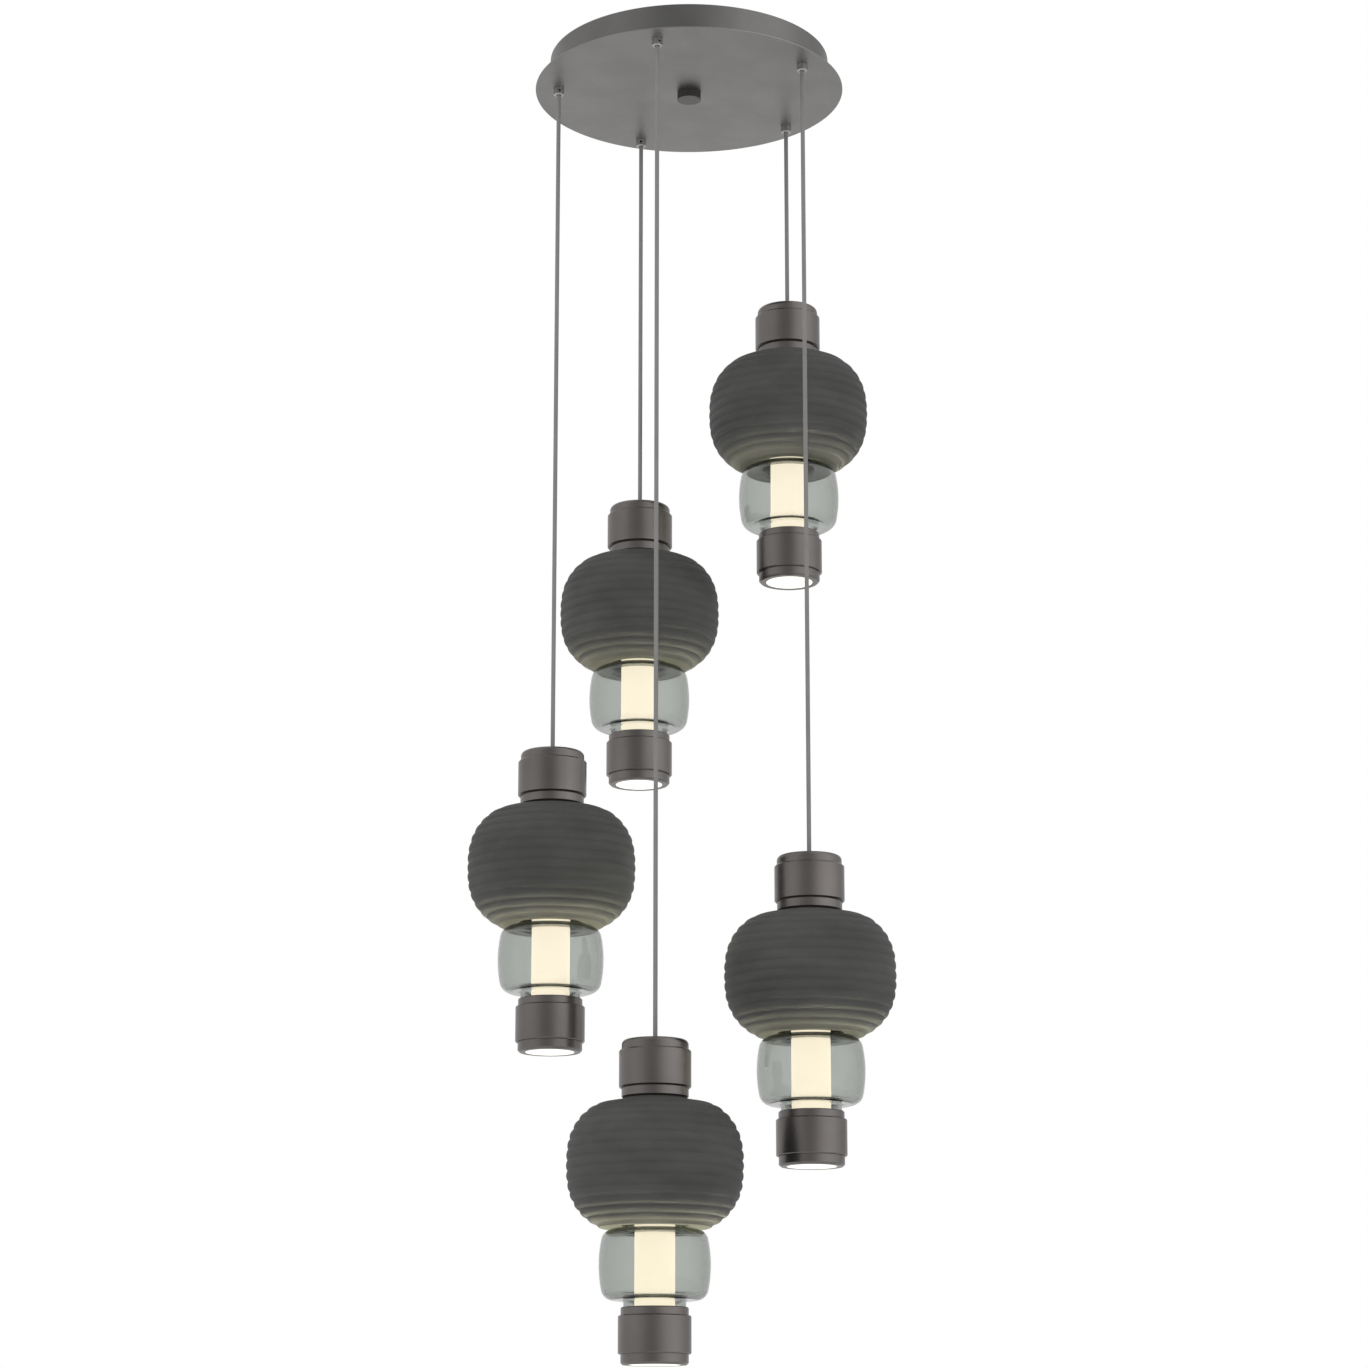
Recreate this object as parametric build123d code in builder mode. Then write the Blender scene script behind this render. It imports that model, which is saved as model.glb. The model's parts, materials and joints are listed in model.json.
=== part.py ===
"""Five stacked ceramic-and-glass pendants hung at different heights from one round canopy.

Millimetres, +Z up. The origin is the middle of the mounting bar's top face, which lies on the ceiling.
Each pendant is a stack clamped on one core: cap, ceramic shade, glass barrel, housing.
"""
from build123d import *
from math import cos, radians, sin, sqrt
import os

# ---------------------------------------------------------------- clearances
SEAT_GAP = 0.2  # between stacked faces
SLIP = 0.3  # round pieces that pass through or stand inside one another
RUNNING_FIT = 0.05  # radial, where a piece turns on another

# ---------------------------------------------------------------- canopy
RING_RADIUS = 172.5  # circle that the five cords hang from
FIRST_ANGLE = 184.3  # of the first cord, from +X
PAN_MARGIN = 11.3  # from the cords' circle to the pan's side
PLATE_OVERHANG = 19.2  # of the plate beyond the pan
PLATE_THICK = 1.5
PLATE_EDGE_ROUND = 0.45
PAN_HEIGHT = 39.3
PAN_WALL = 1.3
BAR_LENGTH = 112.0
BAR_WIDTH = 24.0
BAR_THICK = 2.5
SCREW_SPACING = 88.9  # between the two ceiling-box screws
SCREW_HOLE_RADIUS = 2.4
STUD_RADIUS = 4.0
COLLAR_ACROSS_FLATS = 13.0
COLLAR_HEIGHT = 6.0
NUT_RADIUS = 15.4
NUT_HEIGHT = 11.0
NUT_THREAD_DEPTH = 7.5
KNURL_COUNT = 40
KNURL_RADIUS = 0.55
DRIVER_INNER_RADIUS = 24.0
DRIVER_OUTER_RADIUS = 76.0
DRIVER_HEIGHT = 22.0
DRIVER_ROUND = 3.0

# ---------------------------------------------------------------- cords and their grips
CORD_RADIUS = 2.7
GRIP_RADIUS = 6.8
GRIP_LENGTH = 10.5
GRIP_BEVEL = 1.2
NIPPLE_RADIUS = 5.0
LOCKNUT_ACROSS_FLATS = 14.0
LOCKNUT_HEIGHT = 4.0
NIPPLE_STAND_OUT = 1.0
BEND_DEPTH = 2.5  # of the point where a cord bends, inside the grip's mouth
MOUTH_FLARE = 0.5
SET_SCREW_RADIUS = 1.5
SET_SCREW_RISE = 5.5  # above the grip's mouth
SET_SCREW_SUNK = 0.3
SET_SCREW_SOCKET = 0.8
LEAD_BEND = 14.0
LEAD_HEIGHT = 17.0  # of the level leads above the pan's floor

# How far the free cord of each pendant drops below the plate
DROP_A = 899.0
DROP_B = 1047.0
DROP_C = 1284.0
DROP_D = 525.0
DROP_E = 264.0

# Each pendant: the place of its cord on the circle, its drop, and the way its set screw faces, from -Y
PENDANTS = {
    "a": (0, DROP_A, 11.0),
    "c": (1, DROP_C, 29.0),
    "b": (2, DROP_B, 190.0),
    "e": (3, DROP_E, 160.0),
    "d": (4, DROP_D, 0.0),
}

# ---------------------------------------------------------------- pendant: cap and housing
RING_OUTER = 39.8  # narrow rings above and below each band
BAND_OUTER = 42.9
METAL_WALL = 2.6
CAP_TOP_WALL = 4.0
CAP_SHOULDER = 6.0
CAP_UPPER_RING = 12.0
CAP_BAND = 45.5
CAP_LOWER_RING = 12.0
CAP_BEVEL = 2.0
CAP_BAND_BEVEL = 1.8
SEAM_WIDTH = 0.6
SEAM_DEPTH = 0.5
BRIDGE_DROP = 24.0  # top of the bridge below the cap's top
BRIDGE_WIDTH = 18.0
BRIDGE_THICK = 6.0
HOUSING_UPPER_RING = 9.5
HOUSING_BAND = 44.0
HOUSING_LOWER_RING = 12.5
HOUSING_BEVEL = 2.4
HOUSING_BAND_BEVEL = 1.0
HOUSING_CUP = 15.0
WEB_THICK = 6.0
LIP_INNER = 30.5
LIP_THICK = 1.6
LENS_RADIUS = 34.0
LENS_THICK = 3.0

# ---------------------------------------------------------------- pendant: shade
SHADE_RADIUS = 103.9  # halfway between the ribs' crests and grooves
SHADE_POWER = 2.6
SHADE_UPPER_RISE = 83.0
SHADE_LOWER_FALL = 82.2
SHADE_TOP_TO_MIDDLE = 78.2
SHADE_HEIGHT = 151.5
SHADE_SEAT_RADIUS = 38.0  # of the low collar that the cap stands on
SHADE_SEAT_HEIGHT = 1.3
CROWN_RADIUS = 67.0  # outer edge of the smooth crown
CROWN_DROP = 6.7  # of that edge below the shade's top
SHADE_FOOT_RADIUS = 57.0
SHADE_WALL = 4.5
SHADE_CROWN_WALL = 7.7  # at the seat
SHADE_SHOULDER_WALL = 6.5
SHADE_TOP_HOLE = 8.0
SHADE_FLOOR_HOLE = 40.0
RIB_COUNT = 13
RIB_DEPTH = 1.8
RIB_START_RADIUS = 72.2
RIB_END_RADIUS = 70.3
SIDE_POINTS = 24  # on the ribs' middle line
INSIDE_POINTS = 12

# ---------------------------------------------------------------- pendant: glass, light tube, core
GLASS_RADIUS = 65.7
GLASS_HALF_HEIGHT = 41.0
GLASS_SIDE_ARC = 150.0
GLASS_CORNER = 16.0
GLASS_WALL = 4.0
GLASS_NECK = 36.7
GLASS_NECK_FILLET = 3.0
GLASS_TOP_NECK = 9.0
NECK_SHOWN = 9.5  # of the lower neck, above the housing
INNER_RUNS = 4  # straight runs along each arc of the inner wall
TUBE_RADIUS = 23.8
TUBE_WALL = 2.5
TUBE_LENGTH = 143.0
CORE_RADIUS = 10.0
CORE_THREAD = 5.0
CORE_BORE = 3.0
CORE_TOP_SHOWN = 1.0  # of the thread above its nut
CORE_END_SHOWN = 2.0
COLLAR_THICK = 4.0
CORE_NUT_ACROSS_FLATS = 17.0
CORE_NUT_HEIGHT = 6.0

# ---------------------------------------------------------------- pendant: swivelling cord anchor
ANCHOR_SHANK = 5.5
ANCHOR_COLLAR = 7.5
ANCHOR_COLLAR_HEIGHT = 2.4
ANCHOR_COLLAR_BEVEL = 1.0
ANCHOR_FLANGE = 9.0
ANCHOR_FLANGE_HEIGHT = 5.0
ANCHOR_BEND_DEPTH = 3.0

# ---------------------------------------------------------------- heights worked out from these
PAN_RADIUS = RING_RADIUS + PAN_MARGIN
PLATE_RADIUS = PAN_RADIUS + PLATE_OVERHANG
FLOOR_TOP = -PAN_HEIGHT + PAN_WALL
PLATE_TOP = -PAN_HEIGHT
PLATE_BOTTOM = PLATE_TOP - PLATE_THICK
GRIP_MOUTH = PLATE_BOTTOM - GRIP_LENGTH
CORD_BEND = GRIP_MOUTH + BEND_DEPTH
LEAD_END = CORD_BEND + CORD_RADIUS + SLIP

CAP_BAND_END = -CAP_UPPER_RING - CAP_BAND
CAP_END = CAP_BAND_END - CAP_LOWER_RING
SHADE_TOP = CAP_END - SEAT_GAP
SHADE_MIDDLE = SHADE_TOP - SHADE_TOP_TO_MIDDLE
SHADE_END = SHADE_TOP - SHADE_HEIGHT
GLASS_MIDDLE = SHADE_END - SEAT_GAP - GLASS_HALF_HEIGHT
HOUSING_TOP = GLASS_MIDDLE - GLASS_HALF_HEIGHT - NECK_SHOWN
WEB_TOP = HOUSING_TOP - HOUSING_CUP
WEB_BOTTOM = WEB_TOP - WEB_THICK
HOUSING_BAND_END = HOUSING_TOP - HOUSING_UPPER_RING - HOUSING_BAND
HOUSING_END = HOUSING_BAND_END - HOUSING_LOWER_RING
NECK_END = WEB_TOP + SEAT_GAP
TUBE_END = WEB_TOP + SEAT_GAP
TUBE_TOP = TUBE_END + TUBE_LENGTH
ANCHOR_BEND = ANCHOR_COLLAR_HEIGHT - ANCHOR_BEND_DEPTH
UP = (0, 0, 1)


def across_flats(size):
    """Corner radius of a hexagon with that size across its flats."""
    return size / sqrt(3)


def profile_plane(seat):
    """An upright plane through the seat's axis: its x is the radius and its y the height."""
    return Plane(origin=seat.origin, x_dir=(1, 0, 0), z_dir=(0, -1, 0))


def axis_of(seat):
    return Axis(seat.origin, UP)


def write(builder, name):
    """Label a finished piece and write it."""
    builder.part.label = name
    export_step(builder.part, f"parts/{name}.step")


# ================================================================ canopy pieces
def make_crossbar():
    """The steel bar screwed to the ceiling box. The stud is threaded through its middle."""
    with BuildPart() as crossbar:
        with BuildSketch(Plane.XY.offset(-BAR_THICK)):
            SlotOverall(BAR_LENGTH, BAR_WIDTH)
            with GridLocations(SCREW_SPACING, 0, 2, 1):
                Circle(SCREW_HOLE_RADIUS, mode=Mode.SUBTRACT)
            Circle(STUD_RADIUS + RUNNING_FIT, mode=Mode.SUBTRACT)
        extrude(amount=BAR_THICK)
    return crossbar


def make_stud():
    """The threaded stud, with the hexagonal collar that stops it against the bar."""
    stud_end = PLATE_BOTTOM - NUT_THREAD_DEPTH + SLIP
    with BuildPart() as stud:
        with BuildSketch(Plane.XY.offset(stud_end)):
            Circle(STUD_RADIUS)
        extrude(amount=-stud_end - SEAT_GAP)
        with BuildSketch(Plane.XY.offset(-BAR_THICK - SEAT_GAP)):
            RegularPolygon(across_flats(COLLAR_ACROSS_FLATS), 6)
        extrude(amount=-COLLAR_HEIGHT)
    return stud


def make_pan():
    """The round pan: its rim meets the ceiling and its floor carries the driver."""
    with BuildPart() as pan:
        with BuildSketch(Plane.XY.offset(-PAN_HEIGHT)):
            Circle(PAN_RADIUS)
        extrude(amount=PAN_HEIGHT)
        with BuildSketch(Plane.XY.offset(FLOOR_TOP)):
            Circle(PAN_RADIUS - PAN_WALL)
        extrude(amount=PAN_HEIGHT, mode=Mode.SUBTRACT)
        with BuildSketch(Plane.XY.offset(-PAN_HEIGHT)):
            Circle(STUD_RADIUS + SLIP)
            with PolarLocations(RING_RADIUS, len(PENDANTS), FIRST_ANGLE):
                Circle(NIPPLE_RADIUS + SLIP)
        extrude(amount=PAN_WALL, mode=Mode.SUBTRACT)
    return pan


def make_plate():
    """The thin round plate that covers the pan from below."""
    with BuildPart() as plate:
        with BuildSketch(Plane.XY.offset(PLATE_BOTTOM)):
            Circle(PLATE_RADIUS)
            Circle(STUD_RADIUS + SLIP, mode=Mode.SUBTRACT)
            with PolarLocations(RING_RADIUS, len(PENDANTS), FIRST_ANGLE):
                Circle(NIPPLE_RADIUS + SLIP, mode=Mode.SUBTRACT)
        extrude(amount=PLATE_THICK)
        rims = plate.edges().filter_by(GeomType.CIRCLE).sort_by(SortBy.RADIUS)[-2:]
        fillet(rims, radius=PLATE_EDGE_ROUND)
    return plate


def make_knurled_nut():
    """The knurled nut that holds the plate and the pan up. It turns on the stud."""
    nut_top = PLATE_BOTTOM - SEAT_GAP
    with BuildPart() as knurled_nut:
        with BuildSketch(Plane.XY.offset(nut_top - NUT_HEIGHT)):
            Circle(NUT_RADIUS)
            with PolarLocations(NUT_RADIUS, KNURL_COUNT):
                Circle(KNURL_RADIUS, mode=Mode.SUBTRACT)
        extrude(amount=NUT_HEIGHT)
        with BuildSketch(Plane.XY.offset(nut_top)):
            Circle(STUD_RADIUS + RUNNING_FIT)
        extrude(amount=-NUT_THREAD_DEPTH, mode=Mode.SUBTRACT)
    return knurled_nut


def make_driver():
    """The ring-shaped driver on the pan's floor, round the stud."""
    with BuildPart() as driver:
        with BuildSketch(Plane.XY.offset(FLOOR_TOP + SEAT_GAP)):
            Circle(DRIVER_OUTER_RADIUS)
            Circle(DRIVER_INNER_RADIUS, mode=Mode.SUBTRACT)
        extrude(amount=DRIVER_HEIGHT)
        fillet(driver.faces().sort_by(Axis.Z)[-1].edges(), radius=DRIVER_ROUND)
    return driver


# ================================================================ cord grips and what is in them
def cord_places():
    """The seat plane of each cord under the plate, with its name, drop and set-screw turn."""
    for name, (place, drop, screw_turn) in PENDANTS.items():
        angle = radians(FIRST_ANGLE + place * 360 / len(PENDANTS))
        seat = Plane((RING_RADIUS * cos(angle), RING_RADIUS * sin(angle), 0))
        yield name, seat, drop, screw_turn


def screw_plane(seat, turn):
    """A plane at the cord's axis that faces out along the set screw."""
    facing = (sin(radians(turn)), -cos(radians(turn)), 0)
    origin = seat.origin + Vector(0, 0, GRIP_MOUTH + SET_SCREW_RISE)
    return Plane(origin=origin, x_dir=UP, z_dir=facing)


def make_grips():
    """Five cord grips: a turned body below the plate and a threaded nipple through it."""
    nipple_top = FLOOR_TOP + LOCKNUT_HEIGHT + NIPPLE_STAND_OUT
    bore = CORD_RADIUS + SLIP
    flared = bore + MOUTH_FLARE
    with BuildPart() as grips:
        for _, seat, _, _ in cord_places():
            with BuildSketch(profile_plane(seat)):
                with BuildLine():
                    Polyline(
                        (bore, nipple_top),
                        (NIPPLE_RADIUS, nipple_top),
                        (NIPPLE_RADIUS, PLATE_BOTTOM - SEAT_GAP),
                        (GRIP_RADIUS, PLATE_BOTTOM - SEAT_GAP),
                        (GRIP_RADIUS, GRIP_MOUTH + GRIP_BEVEL),
                        (GRIP_RADIUS - GRIP_BEVEL, GRIP_MOUTH),
                        (flared, GRIP_MOUTH),
                        (bore, CORD_BEND + BEND_DEPTH / 2),
                        close=True,
                    )
                make_face()
            revolve(axis=axis_of(seat))
        for _, seat, _, screw_turn in cord_places():
            with BuildSketch(screw_plane(seat, screw_turn)):
                Circle(SET_SCREW_RADIUS + RUNNING_FIT)
            extrude(amount=GRIP_RADIUS + SLIP, mode=Mode.SUBTRACT)
    return grips


def make_locknuts():
    """Five hexagonal nuts that clamp the pan and the plate between them and the grips."""
    with BuildPart() as locknuts:
        with BuildSketch(Plane.XY.offset(FLOOR_TOP + SEAT_GAP)):
            with PolarLocations(RING_RADIUS, len(PENDANTS), FIRST_ANGLE):
                RegularPolygon(across_flats(LOCKNUT_ACROSS_FLATS), 6)
                Circle(NIPPLE_RADIUS + RUNNING_FIT, mode=Mode.SUBTRACT)
        extrude(amount=LOCKNUT_HEIGHT)
    return locknuts


def make_set_screws():
    """Five set screws, each pressing on its cord through the side of the grip."""
    tip = CORD_RADIUS + SLIP
    length = GRIP_RADIUS - SET_SCREW_SUNK - tip
    with BuildPart() as set_screws:
        for _, seat, _, screw_turn in cord_places():
            with BuildSketch(screw_plane(seat, screw_turn).offset(tip)):
                Circle(SET_SCREW_RADIUS)
            extrude(amount=length)
            with BuildSketch(screw_plane(seat, screw_turn).offset(tip + length)):
                RegularPolygon(SET_SCREW_SOCKET, 6)
            extrude(amount=-length / 2, mode=Mode.SUBTRACT)
    return set_screws


def make_inner_leads():
    """The cords' inner ends: up out of each grip, round a bend and level to the driver."""
    level = FLOOR_TOP + LEAD_HEIGHT
    with BuildPart() as inner_leads:
        for _, seat, _, _ in cord_places():
            inward = Vector(-seat.origin.X, -seat.origin.Y, 0).normalized()
            start = seat.origin + Vector(0, 0, LEAD_END)
            bend = seat.origin + Vector(0, 0, level)
            end = inward * -(DRIVER_OUTER_RADIUS + SEAT_GAP) + Vector(0, 0, level)
            with BuildLine():
                FilletPolyline(start, bend, end, radius=LEAD_BEND)
            with BuildSketch(Plane(origin=start, z_dir=UP)):
                Circle(CORD_RADIUS)
            sweep()
    return inner_leads


# ================================================================ pieces of one pendant
def make_cord(seat, drop):
    """The straight free cord, round at each end where it bends in the grip and the anchor."""
    top = CORD_BEND
    bottom = PLATE_BOTTOM - drop + ANCHOR_BEND
    with BuildPart() as cord:
        with BuildSketch(profile_plane(seat)):
            with BuildLine():
                Line((0, top + CORD_RADIUS), (0, bottom - CORD_RADIUS))
                CenterArc((0, bottom), CORD_RADIUS, 270, 90)
                Line((CORD_RADIUS, bottom), (CORD_RADIUS, top))
                CenterArc((0, top), CORD_RADIUS, 0, 90)
            make_face()
        revolve(axis=axis_of(seat))
    return cord


def make_anchor(seat):
    """The anchor that grips the cord's end. The cap hangs on its flange and turns on its shank."""
    wall_bottom = -CAP_TOP_WALL - SEAT_GAP
    bore = CORD_RADIUS + SLIP
    bore_end = ANCHOR_BEND - bore
    with BuildPart() as anchor:
        with BuildSketch(profile_plane(seat)):
            with BuildLine():
                Polyline(
                    (0, bore_end),
                    (bore, bore_end),
                    (bore, ANCHOR_BEND),
                    (bore + MOUTH_FLARE, ANCHOR_COLLAR_HEIGHT),
                    (ANCHOR_COLLAR - ANCHOR_COLLAR_BEVEL, ANCHOR_COLLAR_HEIGHT),
                    (ANCHOR_COLLAR, ANCHOR_COLLAR_HEIGHT - ANCHOR_COLLAR_BEVEL),
                    (ANCHOR_COLLAR, SEAT_GAP),
                    (ANCHOR_SHANK, SEAT_GAP),
                    (ANCHOR_SHANK, wall_bottom),
                    (ANCHOR_FLANGE, wall_bottom),
                    (ANCHOR_FLANGE, wall_bottom - ANCHOR_FLANGE_HEIGHT),
                    (0, wall_bottom - ANCHOR_FLANGE_HEIGHT),
                    close=True,
                )
            make_face()
        revolve(axis=axis_of(seat))
    return anchor


def banded_outline(top, band_top, band_end, end, bevel, seam_above):
    """Corners of a turned outer wall: narrow ring, proud band, seam, narrow ring."""
    seam = RING_OUTER - SEAM_DEPTH
    upper_seam = [
        (RING_OUTER, band_top + SEAM_WIDTH),
        (seam, band_top + SEAM_WIDTH),
        (seam, band_top),
    ]
    return [
        (RING_OUTER, top),
        *(upper_seam if seam_above else [(RING_OUTER, band_top)]),
        (BAND_OUTER - bevel, band_top),
        (BAND_OUTER, band_top - bevel),
        (BAND_OUTER, band_end + bevel),
        (BAND_OUTER - bevel, band_end),
        (seam, band_end),
        (seam, band_end - SEAM_WIDTH),
        (RING_OUTER, band_end - SEAM_WIDTH),
        (RING_OUTER, end),
    ]


def make_cap(seat):
    """The cap: a turned cup, open below, with a bridge inside that the core hangs from."""
    inner = RING_OUTER - METAL_WALL
    bridge_top = -BRIDGE_DROP
    with BuildPart() as cap:
        with BuildSketch(profile_plane(seat)):
            with BuildLine():
                ends = (-CAP_SHOULDER, -CAP_UPPER_RING, CAP_BAND_END, CAP_END + CAP_BEVEL)
                side = Polyline(banded_outline(*ends, CAP_BAND_BEVEL, seam_above=False))
                lip = Polyline(
                    side @ 1,
                    (RING_OUTER - CAP_BEVEL, CAP_END),
                    (inner, CAP_END),
                    (inner, -CAP_TOP_WALL),
                    (ANCHOR_SHANK + RUNNING_FIT, -CAP_TOP_WALL),
                    (ANCHOR_SHANK + RUNNING_FIT, 0),
                    (RING_OUTER - CAP_SHOULDER, 0),
                )
                RadiusArc(lip @ 1, side @ 0, CAP_SHOULDER)
            make_face()
        revolve(axis=axis_of(seat))
        with BuildSketch(Plane(seat.origin + Vector(0, 0, bridge_top - BRIDGE_THICK))):
            Rectangle(2 * inner, BRIDGE_WIDTH)
            Circle(RING_OUTER - METAL_WALL / 2, mode=Mode.INTERSECT)
            Circle(CORE_THREAD + RUNNING_FIT, mode=Mode.SUBTRACT)
        extrude(amount=BRIDGE_THICK)
    return cap


def shade_radius(height, radius, upper, lower):
    """Radius of the shade's rounded form at a height above or below its middle."""
    reach = upper if height > 0 else lower
    return radius * (1 - (abs(height) / reach) ** SHADE_POWER) ** (1 / SHADE_POWER)


def shade_height(at_radius, radius, reach):
    """Height from the middle at which the rounded form has that radius."""
    return reach * (1 - (at_radius / radius) ** SHADE_POWER) ** (1 / SHADE_POWER)


def rounded_side(radius, upper, lower, high, low, count):
    """Points down the rounded form, closer together towards its ends."""
    turns = [180 * i / count for i in range(count + 1)]
    heights = [(high + low) / 2 + (high - low) / 2 * cos(radians(t)) for t in turns]
    return [(shade_radius(h, radius, upper, lower), SHADE_MIDDLE + h) for h in heights]


def make_shade(seat):
    """The ribbed ceramic shade, hollow, open at its floor round the glass's neck."""
    shoulder = shade_height(RIB_START_RADIUS, SHADE_RADIUS, SHADE_UPPER_RISE)
    hip = -shade_height(RIB_END_RADIUS, SHADE_RADIUS, SHADE_LOWER_FALL)
    sizes = (SHADE_RADIUS, SHADE_UPPER_RISE, SHADE_LOWER_FALL)
    inner_sizes = (
        SHADE_RADIUS - SHADE_WALL,
        SHADE_UPPER_RISE - SHADE_SHOULDER_WALL,
        SHADE_LOWER_FALL - SHADE_WALL,
    )
    inside_top = SHADE_TOP_TO_MIDDLE - SHADE_CROWN_WALL
    inside_end = SHADE_END - SHADE_MIDDLE + SHADE_WALL
    with BuildLine(mode=Mode.PRIVATE):
        middle_line = Spline(rounded_side(*sizes, shoulder, hip, SIDE_POINTS))

    def beside(share, distance):
        along = middle_line % share
        return middle_line @ share + Vector(-along.Y, along.X) * distance

    grooves = [beside(i / RIB_COUNT, -RIB_DEPTH / 2) for i in range(1, RIB_COUNT)]
    grooves = [middle_line @ 0, *grooves, middle_line @ 1]
    with BuildPart() as shade:
        with BuildSketch(profile_plane(seat)):
            with BuildLine():
                for i in range(RIB_COUNT):
                    crest = beside((i + 0.5) / RIB_COUNT, RIB_DEPTH / 2)
                    ThreePointArc(grooves[i], crest, grooves[i + 1])
                Polyline(
                    grooves[-1],
                    (SHADE_FOOT_RADIUS, SHADE_END),
                    (SHADE_FLOOR_HOLE, SHADE_END),
                    (SHADE_FLOOR_HOLE, SHADE_END + SHADE_WALL),
                    (0, SHADE_END + SHADE_WALL),
                    (0, SHADE_TOP),
                    (SHADE_SEAT_RADIUS, SHADE_TOP),
                    (SHADE_SEAT_RADIUS, SHADE_TOP - SHADE_SEAT_HEIGHT),
                    (CROWN_RADIUS, SHADE_TOP - CROWN_DROP),
                    grooves[0],
                )
            make_face()
        revolve(axis=axis_of(seat))
        with BuildSketch(profile_plane(seat)):
            with BuildLine():
                inside = rounded_side(*inner_sizes, inside_top, inside_end, INSIDE_POINTS)
                middle_points = [(0, SHADE_MIDDLE + inside_end), (0, SHADE_MIDDLE + inside_top)]
                Polyline(*inside, *middle_points, close=True)
            make_face()
        revolve(axis=axis_of(seat), mode=Mode.SUBTRACT)
        with BuildSketch(Plane(seat.origin + Vector(0, 0, SHADE_TOP))):
            Circle(SHADE_TOP_HOLE)
        extrude(amount=-SHADE_CROWN_WALL, mode=Mode.SUBTRACT)
    return shade


def glass_side(inset):
    """The arcs of the barrel's wall from neck to neck, set in from its outer face by a distance."""
    lean = (GLASS_HALF_HEIGHT - GLASS_CORNER) / (GLASS_SIDE_ARC - GLASS_CORNER)
    spread = sqrt(1 - lean**2)
    side_x = GLASS_RADIUS - GLASS_SIDE_ARC
    corner_x = side_x + (GLASS_SIDE_ARC - GLASS_CORNER) * spread
    corner_y = GLASS_HALF_HEIGHT - GLASS_CORNER
    fillet_x = GLASS_NECK + GLASS_NECK_FILLET
    fillet_y = GLASS_HALF_HEIGHT + GLASS_NECK_FILLET
    tilt = Vector(spread, lean).get_angle(Vector(1, 0))
    high, low = GLASS_MIDDLE + fillet_y, GLASS_MIDDLE - fillet_y
    bend = GLASS_NECK_FILLET + inset
    corner = GLASS_CORNER - inset
    return [
        CenterArc((fillet_x, high), bend, 180, 90),
        CenterArc((corner_x, GLASS_MIDDLE + corner_y), corner, 90, tilt - 90),
        CenterArc((side_x, GLASS_MIDDLE), GLASS_SIDE_ARC - inset, tilt, -2 * tilt),
        CenterArc((corner_x, GLASS_MIDDLE - corner_y), corner, -tilt, tilt - 90),
        CenterArc((fillet_x, low), bend, 90, 90),
    ]


def make_glass(seat):
    """The smoked glass barrel, with a short neck into the shade and one into the housing."""
    neck_top = GLASS_MIDDLE + GLASS_HALF_HEIGHT + GLASS_TOP_NECK
    neck_inner = GLASS_NECK - GLASS_WALL
    with BuildLine(mode=Mode.PRIVATE):
        inner_arcs = glass_side(GLASS_WALL)
    inner = [arc @ (i / INNER_RUNS) for arc in inner_arcs for i in range(INNER_RUNS + 1)]
    with BuildPart() as glass:
        with BuildSketch(profile_plane(seat)):
            with BuildLine():
                arcs = glass_side(0)
                Line(arcs[0] @ 1, arcs[1] @ 0)
                Line(arcs[3] @ 1, arcs[4] @ 0)
                Polyline(
                    arcs[0] @ 0,
                    (GLASS_NECK, neck_top),
                    (neck_inner, neck_top),
                    *inner,
                    (neck_inner, NECK_END),
                    (GLASS_NECK, NECK_END),
                    arcs[-1] @ 1,
                )
            make_face()
        revolve(axis=axis_of(seat))
    return glass


def make_light_tube(seat):
    """The opal tube that glows, standing in the housing's cup."""
    with BuildPart() as light_tube:
        with BuildSketch(Plane(seat.origin + Vector(0, 0, TUBE_END))):
            Circle(TUBE_RADIUS)
            Circle(TUBE_RADIUS - TUBE_WALL, mode=Mode.SUBTRACT)
        extrude(amount=TUBE_LENGTH)
    return light_tube


def make_core(seat):
    """The core: one aluminium tie rod that carries the lights, with a collar that centres the tube."""
    rod_top = -BRIDGE_DROP + SEAT_GAP + CORE_NUT_HEIGHT + CORE_TOP_SHOWN
    rod_end = WEB_BOTTOM - SEAT_GAP - CORE_NUT_HEIGHT - CORE_END_SHOWN
    collar_top = TUBE_TOP
    collar_radius = TUBE_RADIUS - TUBE_WALL - SLIP
    with BuildPart() as core:
        with BuildSketch(profile_plane(seat)):
            with BuildLine():
                Polyline(
                    (CORE_BORE, rod_top),
                    (CORE_THREAD, rod_top),
                    (CORE_THREAD, collar_top),
                    (collar_radius, collar_top),
                    (collar_radius, collar_top - COLLAR_THICK),
                    (CORE_RADIUS, collar_top - COLLAR_THICK),
                    (CORE_RADIUS, WEB_TOP + SEAT_GAP),
                    (CORE_THREAD, WEB_TOP + SEAT_GAP),
                    (CORE_THREAD, rod_end),
                    (CORE_BORE, rod_end),
                    close=True,
                )
            make_face()
        revolve(axis=axis_of(seat))
    return core


def make_core_nuts(seat):
    """Two nuts that clamp the stack: one on the cap's bridge, one under the housing's web."""
    with BuildPart() as core_nuts:
        for bottom in (-BRIDGE_DROP + SEAT_GAP, WEB_BOTTOM - SEAT_GAP - CORE_NUT_HEIGHT):
            with BuildSketch(Plane(seat.origin + Vector(0, 0, bottom))):
                RegularPolygon(across_flats(CORE_NUT_ACROSS_FLATS), 6)
                Circle(CORE_THREAD + RUNNING_FIT, mode=Mode.SUBTRACT)
            extrude(amount=CORE_NUT_HEIGHT)
    return core_nuts


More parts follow.
